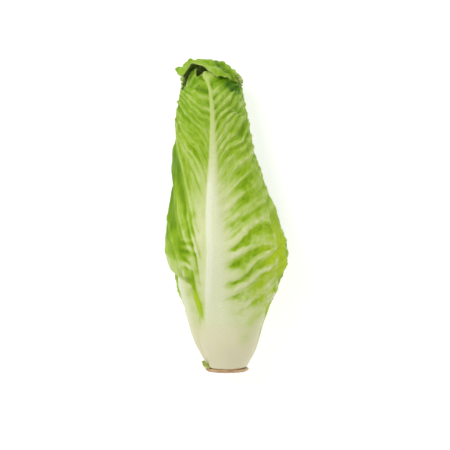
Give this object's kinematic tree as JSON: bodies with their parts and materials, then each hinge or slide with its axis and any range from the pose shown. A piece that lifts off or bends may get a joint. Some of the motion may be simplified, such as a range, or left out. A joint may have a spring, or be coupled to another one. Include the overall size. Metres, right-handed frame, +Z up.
{
  "type": "romaine heart",
  "caption": "Whole trimmed romaine lettuce heart lying on its side: overlapping ribbed leaves nested round a short cut stem.",
  "frame": {"origin": "on the surface that the heart lies on, under the middle of its box", "axes": "+Y from the cut stem towards the leaf tips, +Z up from the surface, with the front leaf's rib facing +Z"},
  "size_m": [0.0866, 0.2218, 0.0656],
  "materials": {
    "outer_leaf": "fresh lettuce leaf: cream rib, pale veins, light green puckered blade, soft waxy sheen",
    "inner_leaf": "paler yellow-green leaf, shaded inside the heart, soft waxy sheen",
    "stem": "cream flesh with a matt tan-brown cut face"
  },
  "bodies": {
    "root": {"stem": "stem", "leaf_front": "outer_leaf", "leaf_back": "outer_leaf", "leaf_right": "outer_leaf", "leaf_left": "outer_leaf", "leaf_inner_1": "inner_leaf", "leaf_inner_2": "inner_leaf", "leaf_inner_3": "inner_leaf", "leaf_inner_4": "inner_leaf", "leaf_inner_5": "inner_leaf", "leaf_inner_6": "inner_leaf", "leaf_inner_7": "inner_leaf", "leaf_inner_8": "inner_leaf", "leaf_inner_9": "inner_leaf"}
  },
  "joints": []
}
